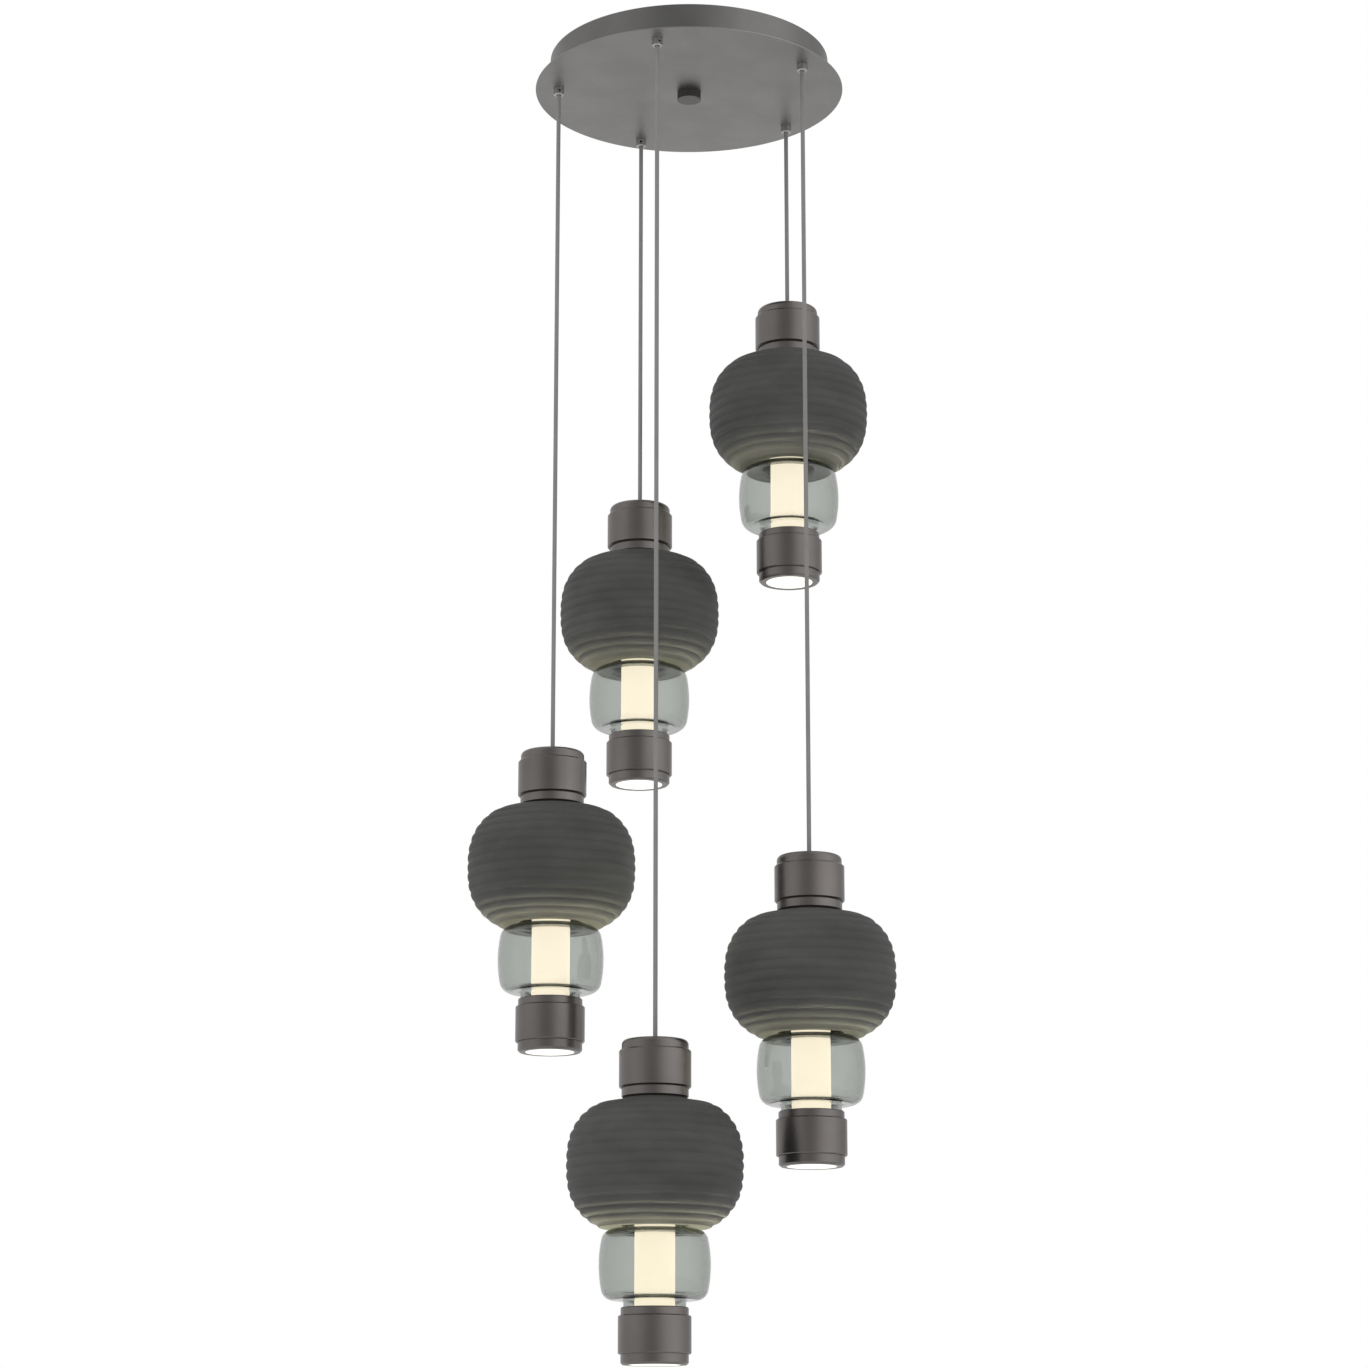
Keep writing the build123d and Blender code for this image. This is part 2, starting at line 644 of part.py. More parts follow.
def make_housing(seat):
    """The turned housing: a cup for glass and tube above its web, a lamp chamber below it."""
    cup = GLASS_NECK + SLIP
    chamber = LENS_RADIUS + SLIP
    lip_top = HOUSING_END + LIP_THICK
    with BuildPart() as housing:
        with BuildSketch(profile_plane(seat)):
            with BuildLine():
                outline = banded_outline(
                    HOUSING_TOP - HOUSING_BAND_BEVEL,
                    HOUSING_TOP - HOUSING_UPPER_RING,
                    HOUSING_BAND_END,
                    HOUSING_END + HOUSING_BEVEL,
                    HOUSING_BAND_BEVEL,
                    seam_above=True,
                )
                Polyline(
                    (cup, HOUSING_TOP),
                    (RING_OUTER - HOUSING_BAND_BEVEL, HOUSING_TOP),
                    *outline,
                    (RING_OUTER - HOUSING_BEVEL, HOUSING_END),
                    (LIP_INNER, HOUSING_END),
                    (LIP_INNER, lip_top),
                    (chamber, lip_top),
                    (chamber, WEB_BOTTOM),
                    (CORE_THREAD + SLIP, WEB_BOTTOM),
                    (CORE_THREAD + SLIP, WEB_TOP),
                    (cup, WEB_TOP),
                    close=True,
                )
            make_face()
        revolve(axis=axis_of(seat))
    return housing


def make_lens(seat):
    """The frosted lens: a disc on the housing's lip, stepped down flush with the lip's face."""
    rest = HOUSING_END + LIP_THICK + SEAT_GAP
    with BuildPart() as lens:
        with BuildSketch(Plane(seat.origin + Vector(0, 0, rest))):
            Circle(LENS_RADIUS)
        extrude(amount=LENS_THICK)
        with BuildSketch(Plane(seat.origin + Vector(0, 0, rest))):
            Circle(LIP_INNER - SLIP)
        extrude(amount=-LIP_THICK)
    return lens


# ================================================================ write every piece
os.makedirs("parts", exist_ok=True)

write(make_crossbar(), "crossbar")
write(make_stud(), "centre_stud")
write(make_pan(), "pan")
write(make_plate(), "cover_plate")
write(make_knurled_nut(), "knurled_nut")
write(make_driver(), "driver")
write(make_grips(), "cord_grips")
write(make_locknuts(), "grip_locknuts")
write(make_set_screws(), "set_screws")
write(make_inner_leads(), "inner_leads")

PENDANT_PIECES = {
    "cord_anchor": make_anchor,
    "cap": make_cap,
    "core": make_core,
    "core_nuts": make_core_nuts,
    "shade": make_shade,
    "glass": make_glass,
    "light_tube": make_light_tube,
    "housing": make_housing,
    "lens": make_lens,
}

for name, seat, drop, _ in cord_places():
    write(make_cord(seat, drop), f"cord_{name}")
    cap_top = Plane(seat.origin + Vector(0, 0, PLATE_BOTTOM - drop))
    for piece, make in PENDANT_PIECES.items():
        write(make(cap_top), f"{piece}_{name}")
    bottom = PLATE_BOTTOM - drop + HOUSING_END
    place = f"({seat.origin.X:.1f}, {seat.origin.Y:.1f})"
    print(f"pendant {name}: cord {drop:.0f} mm at {place}, ends at {bottom:.1f}")
print(f"inner lead bend radius {LEAD_BEND:.1f} mm on a cord of {2 * CORD_RADIUS:.1f} mm")
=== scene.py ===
# %% [markdown]
# # A cluster pendant, dressed for its portrait
#
# Five pendants hang from one round canopy. The CAD frame already gives every piece its place and its
# size, so this notebook only adds what a CAD solid can't carry: the wandering rings of a hand-thrown
# shade, smoked blown glass, cords with a sheath, and a finish on every surface. We load the frame first,
# because each later step asks it where things are.

import json
from bisect import bisect_right
from math import atan2, cos, pi, radians, sin, sqrt

import bmesh
import bpy
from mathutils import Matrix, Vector, noise

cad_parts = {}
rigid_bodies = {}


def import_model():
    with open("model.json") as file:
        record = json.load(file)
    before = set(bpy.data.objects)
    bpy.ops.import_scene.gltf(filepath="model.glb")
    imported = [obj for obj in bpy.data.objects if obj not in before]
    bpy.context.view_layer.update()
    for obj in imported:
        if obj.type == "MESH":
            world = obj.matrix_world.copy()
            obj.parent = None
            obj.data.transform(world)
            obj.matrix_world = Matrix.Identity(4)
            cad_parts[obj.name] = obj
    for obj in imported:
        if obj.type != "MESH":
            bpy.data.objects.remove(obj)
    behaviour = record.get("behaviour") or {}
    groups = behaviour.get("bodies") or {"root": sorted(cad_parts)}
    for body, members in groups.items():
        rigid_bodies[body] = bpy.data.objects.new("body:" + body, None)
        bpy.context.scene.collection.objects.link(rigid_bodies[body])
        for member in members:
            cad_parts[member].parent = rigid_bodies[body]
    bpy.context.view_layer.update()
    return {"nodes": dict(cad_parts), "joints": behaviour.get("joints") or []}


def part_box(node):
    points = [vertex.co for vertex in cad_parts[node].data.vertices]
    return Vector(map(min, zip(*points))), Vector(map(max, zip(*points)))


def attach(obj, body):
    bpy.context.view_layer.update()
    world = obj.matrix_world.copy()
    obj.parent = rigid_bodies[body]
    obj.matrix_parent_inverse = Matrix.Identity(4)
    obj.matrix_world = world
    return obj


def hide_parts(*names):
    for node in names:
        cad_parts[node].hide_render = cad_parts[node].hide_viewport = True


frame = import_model()
NODES = frame["nodes"]
MM = 0.001
PENDANTS = "abcde"

# %% [markdown]
# A pendant's axis is the line that it twists about, and the joint list holds a point of it. Its height is
# the top of its cap. With these two we can build every new piece about the world's own Z axis and move
# the finished mesh under its cord.

# %% Where each pendant hangs
joint_points = {joint["name"]: Vector(joint["pos_m"]) for joint in frame["joints"]}


def cap_top(name):
    """The middle of the top face of a pendant's cap."""
    axis_point = joint_points[f"pendant_twist_{name}"]
    return Vector((axis_point.x, axis_point.y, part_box(f"cap_{name}")[1].z))


for name in PENDANTS:
    print("cap", name, [round(value, 4) for value in cap_top(name)])

# %% [markdown]
# ## Materials
#
# Every finish is a small node tree. The helpers below keep the trees short: one starts a material and
# hands back its Principled shader, one adds a node and joins it up, and one adds a noise in the piece's
# own coordinates, so that a pattern stays on its piece when the pendant swings.

# %% Helpers for node trees
def srgb(red, green, blue):
    """A linear colour from the 0 to 255 values that an eye reads on a screen."""

    def linear(value):
        value = value / 255
        return ((value + 0.055) / 1.055) ** 2.4 if value > 0.04045 else value / 12.92

    return (linear(red), linear(green), linear(blue), 1.0)


def new_material(name, **sockets):
    """A material with a Principled shader whose named sockets are set."""
    material = bpy.data.materials.new(name)
    material.use_nodes = True
    shader = material.node_tree.nodes["Principled BSDF"]
    for socket, value in sockets.items():
        shader.inputs[socket.replace("_", " ")].default_value = value
    return material, shader


def add_node(material, kind, inputs=None, **settings):
    """A new node. Its inputs are constants or the output sockets of other nodes."""
    node = material.node_tree.nodes.new(kind)
    for name, value in settings.items():
        setattr(node, name, value)
    for name, value in (inputs or {}).items():
        if isinstance(value, bpy.types.NodeSocket):
            material.node_tree.links.new(value, node.inputs[name])
        else:
            node.inputs[name].default_value = value
    return node


def object_noise(material, scale, stretch=(1, 1, 1), detail=3.0, roughness=0.5):
    """A noise value in the piece's own coordinates, stretched along the axes."""
    place = add_node(material, "ShaderNodeTexCoord")
    mapping = add_node(material, "ShaderNodeMapping", {"Vector": place.outputs["Object"], "Scale": stretch})
    inputs = {"Vector": mapping.outputs[0], "Scale": scale, "Detail": detail, "Roughness": roughness}
    return add_node(material, "ShaderNodeTexNoise", inputs).outputs["Fac"]


def ramp(material, value, low, high, start=0.35, end=0.65):
    """A colour that goes from low to high as a value goes from start to end."""
    node = add_node(material, "ShaderNodeValToRGB", {"Fac": value})
    node.color_ramp.elements[0].position = start
    node.color_ramp.elements[0].color = low
    node.color_ramp.elements[1].position = end
    node.color_ramp.elements[1].color = high
    return node.outputs["Color"]


def link(material, output, shader, socket):
    """Joins an output to a named socket of a shader."""
    material.node_tree.links.new(output, shader.inputs[socket])


def add_bump(material, shader, height, distance, strength):
    """Raises the surface by up to a distance in metres."""
    inputs = {"Height": height, "Distance": distance, "Strength": strength}
    bump = add_node(material, "ShaderNodeBump", inputs)
    link(material, bump.outputs["Normal"], shader, "Normal")


def add_roughness(material, shader, value, low, high):
    """A roughness that goes from low to high with a value."""
    spread = add_node(material, "ShaderNodeMapRange", {"Value": value, "To Min": low, "To Max": high})
    link(material, spread.outputs["Result"], shader, "Roughness")


def tint(colour, factor):
    """A colour made darker or lighter by a factor."""
    return tuple(channel * factor for channel in colour[:3]) + (1.0,)


print("node helpers ready")

# %% [markdown]
# ### Satin metal
#
# The canopy, caps, housings and grips are turned or spun metal under a satin grey lacquer. Turning leaves
# very fine rings round the axis, so the noise that drives the roughness and the bump is stretched: long
# round the piece and short along it. The colour itself only varies by a few percent. The pan's lacquer is
# painted a little darker than the plate's. This is painted shade, for the plate's shade that the pan stands
# in.

# %% Satin metals
LACQUER_GRAIN = 0.03 * MM
turned_rings = (0.05, 0.05, 6.0)
flat_grain = (1, 1, 1)


def satin_metal(name, colour, roughness, stretch):
    """Metal under a satin lacquer, with fine marks that a stretch lays along the turning."""
    material, shader = new_material(name, Metallic=1.0)
    cloudy = object_noise(material, 18, detail=4)
    fine = object_noise(material, 220, stretch, detail=2)
    link(material, ramp(material, cloudy, tint(colour, 0.94), tint(colour, 1.05)), shader, "Base Color")
    add_roughness(material, shader, fine, roughness - 0.04, roughness + 0.05)
    add_bump(material, shader, fine, LACQUER_GRAIN, 0.35)
    return material


metals = {
    "canopy": satin_metal("canopy_lacquer", srgb(140, 139, 138), 0.42, flat_grain),
    # painted shade: the pan's lacquer is darker than the plate's to stand in for the plate's shade on it
    "pan": satin_metal("pan_lacquer_painted_shade", srgb(114, 113, 112), 0.42, flat_grain),
    "pendant": satin_metal("pendant_lacquer", srgb(114, 110, 108), 0.34, turned_rings),
    "grip": satin_metal("grip_lacquer", srgb(178, 176, 173), 0.34, turned_rings),
    "nut": satin_metal("nut_lacquer", srgb(104, 102, 100), 0.42, flat_grain),
}
print("metals", [material.name for material in metals.values()])

# %% [markdown]
# ### Steel, aluminium and black screws
#
# The parts that nobody sees once the light is up are plain: zinc-plated steel with its slightly cloudy
# plating, turned aluminium, and small black screws. A person who looks into the canopy from above does
# see them, so they get the same care.

# %% Fixings
def plated(name, colour, roughness):
    """Bare or plated metal with a slightly cloudy face."""
    material, shader = new_material(name, Metallic=1.0)
    cloudy = object_noise(material, 60, detail=5)
    link(material, ramp(material, cloudy, tint(colour, 0.82), colour), shader, "Base Color")
    add_roughness(material, shader, cloudy, roughness, roughness + 0.15)
    return material


zinc = plated("zinc_plating", srgb(200, 200, 196), 0.25)
aluminium = plated("turned_aluminium", srgb(214, 214, 216), 0.28)
blackened = plated("blackened_steel", srgb(52, 51, 50), 0.4)
print("fixings", zinc.name, aluminium.name, blackened.name)

# %% [markdown]
# ### Ceramic, glass and light
#
# The shade is unglazed dark clay: rough, with faint clouds and a fine sandy grain.

# %% Ceramic
CLAY_GRAIN = 0.2 * MM


def ceramic(name):
    """Unglazed fired clay."""
    material, shader = new_material(name, Roughness=0.66, Specular_IOR_Level=0.22)
    clouds = object_noise(material, 14, (1, 1, 2.5), detail=5)
    dark = srgb(65, 65, 64)
    pale = srgb(74, 74, 73)
    link(material, ramp(material, clouds, dark, pale), shader, "Base Color")
    grain = object_noise(material, 420, (1, 1, 1.6), detail=3)
    add_bump(material, shader, grain, CLAY_GRAIN, 0.35)
    return material


thrown_clay = ceramic("thrown_clay")
print("clay", thrown_clay.name)

# %% [markdown]
# The glass is smoked. Its surface is clear, and the smoke is a volume that fills the wall, so a longer way
# through the glass is darker and the edges darken by themselves. Shadow rays pass the surface as if it were
# a clear film, because light that bends through glass would leave what is behind it black. The tube and the
# lens glow with an emission colour that varies a little, because an opal tube is never perfectly even.

# %% Smoked glass and glowing opal
SMOKE = (0.34, 0.36, 0.335, 1.0)
SMOKE_DENSITY = 150.0
TUBE_STRENGTH = 1.5
LENS_STRENGTH = 1.1


def smoked(name, colour, smoke):
    """Clear glass with a smoke that fills its wall, so that a longer way through it is darker."""
    material, shader = new_material(name, Transmission_Weight=1.0, IOR=1.47)
    streaks = object_noise(material, 6, (1, 1, 0.4), detail=2)
    link(material, ramp(material, streaks, tint(colour, 0.985), colour), shader, "Base Color")
    add_roughness(material, shader, streaks, 0.0, 0.01)
    inside = add_node(material, "ShaderNodeVolumeAbsorption", {"Color": smoke, "Density": SMOKE_DENSITY})
    output = material.node_tree.nodes["Material Output"]
    material.node_tree.links.new(inside.outputs["Volume"], output.inputs["Volume"])
    rays = add_node(material, "ShaderNodeLightPath")
    clear = add_node(material, "ShaderNodeBsdfTransparent", {"Color": colour})
    blend = {0: rays.outputs["Is Shadow Ray"], 1: shader.outputs["BSDF"], 2: clear.outputs["BSDF"]}
    surface = add_node(material, "ShaderNodeMixShader", blend)
    material.node_tree.links.new(surface.outputs[0], output.inputs["Surface"])
    return material


def glowing(name, edge, middle, strength):
    """Opal plastic that glows, with an emission between two colours."""
    material, shader = new_material(name, Roughness=0.35, Emission_Strength=strength)
    soft = object_noise(material, 9, (1, 1, 0.5), detail=1)
    link(material, ramp(material, soft, edge, middle, 0.3, 0.7), shader, "Emission Color")
    link(material, ramp(material, soft, srgb(120, 118, 112), srgb(128, 126, 120)), shader, "Base Color")
    return material


smoked_glass = smoked("smoked_glass", srgb(250, 252, 250), SMOKE)
opal = glowing("opal_tube", srgb(254, 240, 213), srgb(254, 239, 217), TUBE_STRENGTH)
frosted_lens = glowing("frosted_lens", srgb(255, 250, 238), srgb(255, 252, 244), LENS_STRENGTH)
print("glass and light", smoked_glass.name, opal.name, frosted_lens.name)

# %% [markdown]
# ### Plastics
#
# The cords have a smooth matte sheath that hardly shines, and the driver sits in a pale moulded case.

# %% Plastics
SHEATH_GRAIN = 0.01 * MM
CASE_GRAIN = 0.05 * MM


def plastic(name, colour, roughness, grain_scale, grain_height, specular=0.5):
    """Moulded or extruded plastic with a fine grain."""
    material, shader = new_material(name, Specular_IOR_Level=specular)
    cloudy = object_noise(material, 30, detail=3)
    link(material, ramp(material, cloudy, tint(colour, 0.93), colour), shader, "Base Color")
    add_roughness(material, shader, cloudy, roughness, roughness + 0.08)
    grain = object_noise(material, grain_scale, detail=2)
    add_bump(material, shader, grain, grain_height, 0.5)
    return material


sheath = plastic("cord_sheath", srgb(128, 127, 126), 0.6, 2400, SHEATH_GRAIN, specular=0.15)
moulded = plastic("moulded_case", srgb(226, 225, 220), 0.5, 600, CASE_GRAIN)
print("plastics", sheath.name, moulded.name)

# %% [markdown]
# ### Hand the finishes to the CAD nodes
#
# A CAD node whose shape is already right keeps its mesh and only takes a better material. The table gives
# each node's name a finish, with the pendants' letters left off.

# %% Dress the CAD nodes
FINISHES = {
    "crossbar": zinc,
    "centre_stud": zinc,
    "pan": metals["pan"],
    "cover_plate": metals["canopy"],
    "knurled_nut": metals["nut"],
    "driver": moulded,
    "cord_grips": metals["grip"],
    "grip_locknuts": zinc,
    "set_screws": blackened,
    "inner_leads": sheath,
    "cord": sheath,
    "cord_anchor": metals["grip"],
    "cap": metals["pendant"],
    "core": aluminium,
    "core_nuts": zinc,
    "shade": thrown_clay,
    "glass": smoked_glass,
    "light_tube": opal,
    "housing": metals["pendant"],
    "lens": frosted_lens,
}


def dress(obj, material):
    """Gives an object one finish in place of what it had."""
    obj.data.materials.clear()
    obj.data.materials.append(material)


for node_name, node in NODES.items():
    kind = node_name if node_name in FINISHES else node_name[:-2]
    dress(node, FINISHES[kind])
print("dressed", len(NODES), "nodes")

# %% [markdown]
# ## Turned pieces on a lathe
#
# The shade and the glass are round, so one helper turns both: it lays an outline as a closed loop of
# vertices in the XZ plane and spins it about Z. Each outline vertex can carry a number, the run along the
# outside of the piece, and spin copies it to every vertex that it makes. The shade uses it to know where
# down its ribbed side a vertex lies, with -1 for the vertices that lie elsewhere.

# %% The lathe
MERGE_WITHIN = 0.001 * MM


def lathe(outline, steps, runs=None):
    """A closed turned shell from a loop of (radius, height) points in metres."""
    bm = bmesh.new()
    run_layer = bm.verts.layers.float.new("run")
    loop = []
    for index, (radius, height) in enumerate(outline):
        vert = bm.verts.new((radius, 0, height))
        vert[run_layer] = runs[index] if runs else 0.0
        loop.append(vert)
    for first, second in zip(loop, loop[1:] + loop[:1]):
        bm.edges.new((first, second))
    geometry = bm.verts[:] + bm.edges[:]
    bmesh.ops.spin(
        bm, geom=geometry, cent=(0, 0, 0), axis=(0, 0, 1), angle=2 * pi, steps=steps, use_merge=True
    )
    bmesh.ops.remove_doubles(bm, verts=bm.verts[:], dist=MERGE_WITHIN)
    bmesh.ops.recalc_face_normals(bm, faces=bm.faces[:])
    bm.normal_update()
    return bm


def finish_piece(bm, name, material, body, sharp_degrees):
    """Turns a bmesh into an object, smooth but for sharp edges, that rides on a body."""
    mesh = bpy.data.meshes.new(name)
    bm.to_mesh(mesh)
    bm.free()
    for polygon in mesh.polygons:
        polygon.use_smooth = True
    mesh.set_sharp_from_angle(angle=radians(sharp_degrees))
    mesh.materials.append(material)
    obj = bpy.data.objects.new(name, mesh)
    bpy.context.scene.collection.objects.link(obj)
    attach(obj, body)
    return obj


def arc(centre, radius, start, end, count):
    """Points of an arc as (radius, height) pairs, from one angle in degrees to another."""
    turns = [radians(start + (end - start) * i / count) for i in range(count + 1)]
    return [(centre[0] + radius * cos(turn), centre[1] + radius * sin(turn)) for turn in turns]


print("lathe ready")

# %% [markdown]
# ## The thrown shades
#
# A potter throws each shade on a wheel and cuts even rings into its side with a rib tool. We first draw
# the plain rounded form, a superellipse, as a fine line of points. Then every ring is raised on it as a
# shallow arc, so that two rings meet in a sharp groove. The rings stay true, but clay is soft: each of them
# wanders a little up and down round the axis, and stands out a little more here and less there.

# %% The shade's plain form
SHADE_RADIUS = 103.9 * MM
SHADE_POWER = 2.6
SHADE_RISE = 83.0 * MM
SHADE_FALL = 82.2 * MM
SHADE_TOP_TO_MIDDLE = 78.2 * MM
SHADE_HEIGHT = 151.5 * MM
SHADE_WALL = 4.5 * MM
SHOULDER_WALL = 6.5 * MM
CROWN_WALL = 7.7 * MM
SEAT_RADIUS = 38.0 * MM
SEAT_HEIGHT = 1.3 * MM
CROWN_RADIUS = 67.0 * MM
CROWN_DROP = 6.7 * MM
FOOT_RADIUS = 65.5 * MM
LIP_RADIUS = 52.0 * MM
FOOT_LIFT = 0.2 * MM
LIP_RISE = 3.0 * MM
TOP_HOLE = 8.0 * MM
FLOOR_HOLE = 40.0 * MM
RIB_START = 72.2 * MM
RIB_END = 70.3 * MM
CAP_HEIGHT = 69.7 * MM
RIB_COUNT = 13
RIB_DEPTH = 1.8 * MM
RIB_STEPS = 12
SIDE_POINTS = 800
INSIDE_POINTS = 40


def form_radius(height, inset=0.0, rise_inset=0.0):
    """The form's radius at a height from its middle, set in by a wall."""
    reach = SHADE_RISE - rise_inset if height > 0 else SHADE_FALL - inset
    share = min(abs(height) / reach, 1.0)
    return (SHADE_RADIUS - inset) * (1 - share**SHADE_POWER) ** (1 / SHADE_POWER)


def form_height(radius, reach):
    """The form's height above or below its middle at a radius."""
    return reach * (1 - (radius / SHADE_RADIUS) ** SHADE_POWER) ** (1 / SHADE_POWER)


def form_line(high, low, count, inset=0.0, rise_inset=0.0):
    """Points down the form, closer together towards its ends."""
    heights = [(high + low) / 2 + (high - low) / 2 * cos(pi * i / count) for i in range(count + 1)]
    return [Vector((form_radius(height, inset, rise_inset), height)) for height in heights]


shoulder = form_height(RIB_START, SHADE_RISE)
hip = -form_height(RIB_END, SHADE_FALL)
fine_line = form_line(shoulder, hip, SIDE_POINTS)
fine_runs = [0.0]
for before, after in zip(fine_line, fine_line[1:]):
    fine_runs.append(fine_runs[-1] + (after - before).length)


def on_side(share, distance=0.0):
    """The point at a share of the side's run, moved out from it by a distance."""
    target = min(max(share, 0.0), 1.0) * fine_runs[-1]
    index = min(max(bisect_right(fine_runs, target) - 1, 0), len(fine_line) - 2)
    before, after = fine_line[index], fine_line[index + 1]
    along = after - before
    part = (target - fine_runs[index]) / along.length
    return before + along * part + Vector((-along.y, along.x)).normalized() * distance


print("ribbed side: run", round(fine_runs[-1], 4), "from", round(shoulder, 4), "to", round(hip, 4))

# %% [markdown]
# The shell's outline runs from the hole at the top over the cap's seat and the crown, down the ribbed side,
# under the foot with its countersunk lip, and back up inside. Every corner is softened a little, as a wet
# sponge would leave it.

# %% The whole shell of a shade
SEAT_EDGE = 0.5 * MM
SEAT_FILLET = 0.4 * MM
CROWN_EDGE = 2.0 * MM
FOOT_EDGE = 1.5 * MM
SHADE_STEPS = 200


def soft_corner(before, corner, after, size, count=4):
    """A short rounded chain in place of a corner."""
    corner = Vector(corner)
    start = corner + (Vector(before) - corner).normalized() * size
    end = corner + (Vector(after) - corner).normalized() * size
    shares = [i / count for i in range(count + 1)]
    return [tuple(start.lerp(corner, t).lerp(corner.lerp(end, t), t)) for t in shares]


def shade_outline():
    """The closed outline of the hollow shade, and the run of each point on its ribbed side."""
    top = SHADE_TOP_TO_MIDDLE
    bottom = top - SHADE_HEIGHT
    seat = (SEAT_RADIUS, top)
    seat_foot = (SEAT_RADIUS, top - SEAT_HEIGHT)
    crown = (CROWN_RADIUS, top - CROWN_DROP)
    foot = (FOOT_RADIUS, bottom + FOOT_LIFT)
    lip = (LIP_RADIUS, bottom)
    hole = (FLOOR_HOLE, bottom + LIP_RISE)
    steps = RIB_COUNT * RIB_STEPS
    side = [tuple(on_side(step / steps)) for step in range(steps + 1)]
    points = [(TOP_HOLE, top)]
    points += soft_corner(points[0], seat, seat_foot, SEAT_EDGE)
    points += soft_corner(seat, seat_foot, crown, SEAT_FILLET)
    points += soft_corner(seat_foot, crown, side[0], CROWN_EDGE)
    start = len(points)
    points += side
    points += soft_corner(side[-1], foot, lip, FOOT_EDGE)
    points += soft_corner(foot, lip, hole, FOOT_EDGE)
    points += [hole, (FLOOR_HOLE, bottom + SHADE_WALL)]
    inside = form_line(top - CROWN_WALL, bottom + SHADE_WALL, INSIDE_POINTS, SHADE_WALL, SHOULDER_WALL)
    points += [tuple(point) for point in reversed(inside)]
    points += [(TOP_HOLE, top - CROWN_WALL)]
    runs = [-1.0] * len(points)
    for step in range(steps + 1):
        runs[start + step] = step / steps
    return points, runs


print("shade outline", len(shade_outline()[0]), "points")

# %% [markdown]
# Three soft noises make the clay's unevenness. One moves a ring up and down, as a share of the rings'
# spacing. One changes how far a ring stands out, and one roughens its back.

# %% Throw the shades
BROAD_WANDER = 0.05
FINE_WANDER = 0.02
SWELL = 0.14
UNEVEN = 0.05


def thrown_place(run, turn, seed):
    """Radius and height of the clay at a run down the ribbed side and a turn round the axis."""
    round_about = Vector((cos(turn), sin(turn), run * 7))
    fade = min(1.0, 8 * run, 8 * (1 - run))
    broad = BROAD_WANDER * noise.noise(round_about * 1.1 + seed)
    wander = broad + FINE_WANDER * noise.noise(round_about * 3.7 - seed)
    share = (run * RIB_COUNT) % 1.0
    ridge = 1 - (2 * share - 1) ** 2
    swell = 1.0 + SWELL * noise.noise(round_about * 2.3 + seed * 3)
    uneven = UNEVEN * noise.noise(Vector((cos(turn) * 3, sin(turn) * 3, run * 60)) + seed)
    distance = (ridge * swell + uneven - 0.5) * RIB_DEPTH
    return on_side(run + wander * fade / RIB_COUNT, distance)


def thrown_shade(name, seed):
    """One shade under its cap, in the place of the CAD's. A seed makes it unlike its neighbours."""
    points, runs = shade_outline()
    bm = lathe(points, SHADE_STEPS, runs)
    run_layer = bm.verts.layers.float["run"]
    for vert in bm.verts:
        if vert[run_layer] >= 0:
            turn = atan2(vert.co.y, vert.co.x)
            radius, height = thrown_place(vert[run_layer], turn, seed)
            vert.co = (radius * cos(turn), radius * sin(turn), height)
    middle = cap_top(name) - Vector((0, 0, CAP_HEIGHT + SHADE_TOP_TO_MIDDLE))
    bmesh.ops.translate(bm, vec=middle, verts=bm.verts[:])
    shade = finish_piece(bm, f"thrown_shade_{name}", thrown_clay, f"pendant_{name}", sharp_degrees=70)
    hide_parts(f"shade_{name}")
    return shade


for index, name in enumerate(PENDANTS):
    shade = thrown_shade(name, Vector((11.3 * index + 4.1, 7.7 * index, 3.9 * index + 1.2)))
    print(shade.name, "faces", len(shade.data.polygons))

# %% [markdown]
# ## The blown glass
#
# The barrel is blown into a mould and its two necks are drawn out, so the wall is even and every turn is
# round. The outline is a chain of arcs: the neck's small bend, the round corner, and the slow curve of the
# side. The inner wall is the same chain set in by the wall's thickness. Light bends at both faces, and the
# dark rings near the necks come from that, not from paint. The upper neck reaches up into the shade, and a
# small gap parts the barrel's body from the shade's foot.

# %% The glass barrel's sizes
GLASS_RADIUS = 65.7 * MM
GLASS_HALF = 41.0 * MM
SIDE_ARC = 150.0 * MM
CORNER = 14.5 * MM
GLASS_WALL = 4.0 * MM
NECK = 36.7 * MM
NECK_BEND = 3.0 * MM
TOP_NECK = 10.5 * MM
LOW_NECK = 22.8 * MM
FOOT_GAP = 1.7 * MM
GLASS_MIDDLE = CAP_HEIGHT + SHADE_HEIGHT + FOOT_GAP + GLASS_HALF
BEND_STEPS = 8
CORNER_STEPS = 16
SIDE_STEPS = 24
RIM_STEPS = 6
GLASS_STEPS = 160

lean = (GLASS_HALF - CORNER) / (SIDE_ARC - CORNER)
tilt = atan2(lean, sqrt(1 - lean**2)) * 180 / pi
side_centre = (GLASS_RADIUS - SIDE_ARC, 0.0)
corner_radius = side_centre[0] + (SIDE_ARC - CORNER) * sqrt(1 - lean**2)
print("side arc covers", round(2 * tilt, 1), "degrees; corner centre at radius", round(corner_radius, 4))

# %% [markdown]
# The two walls and the two fire-polished rims close the outline, and the lathe turns it.

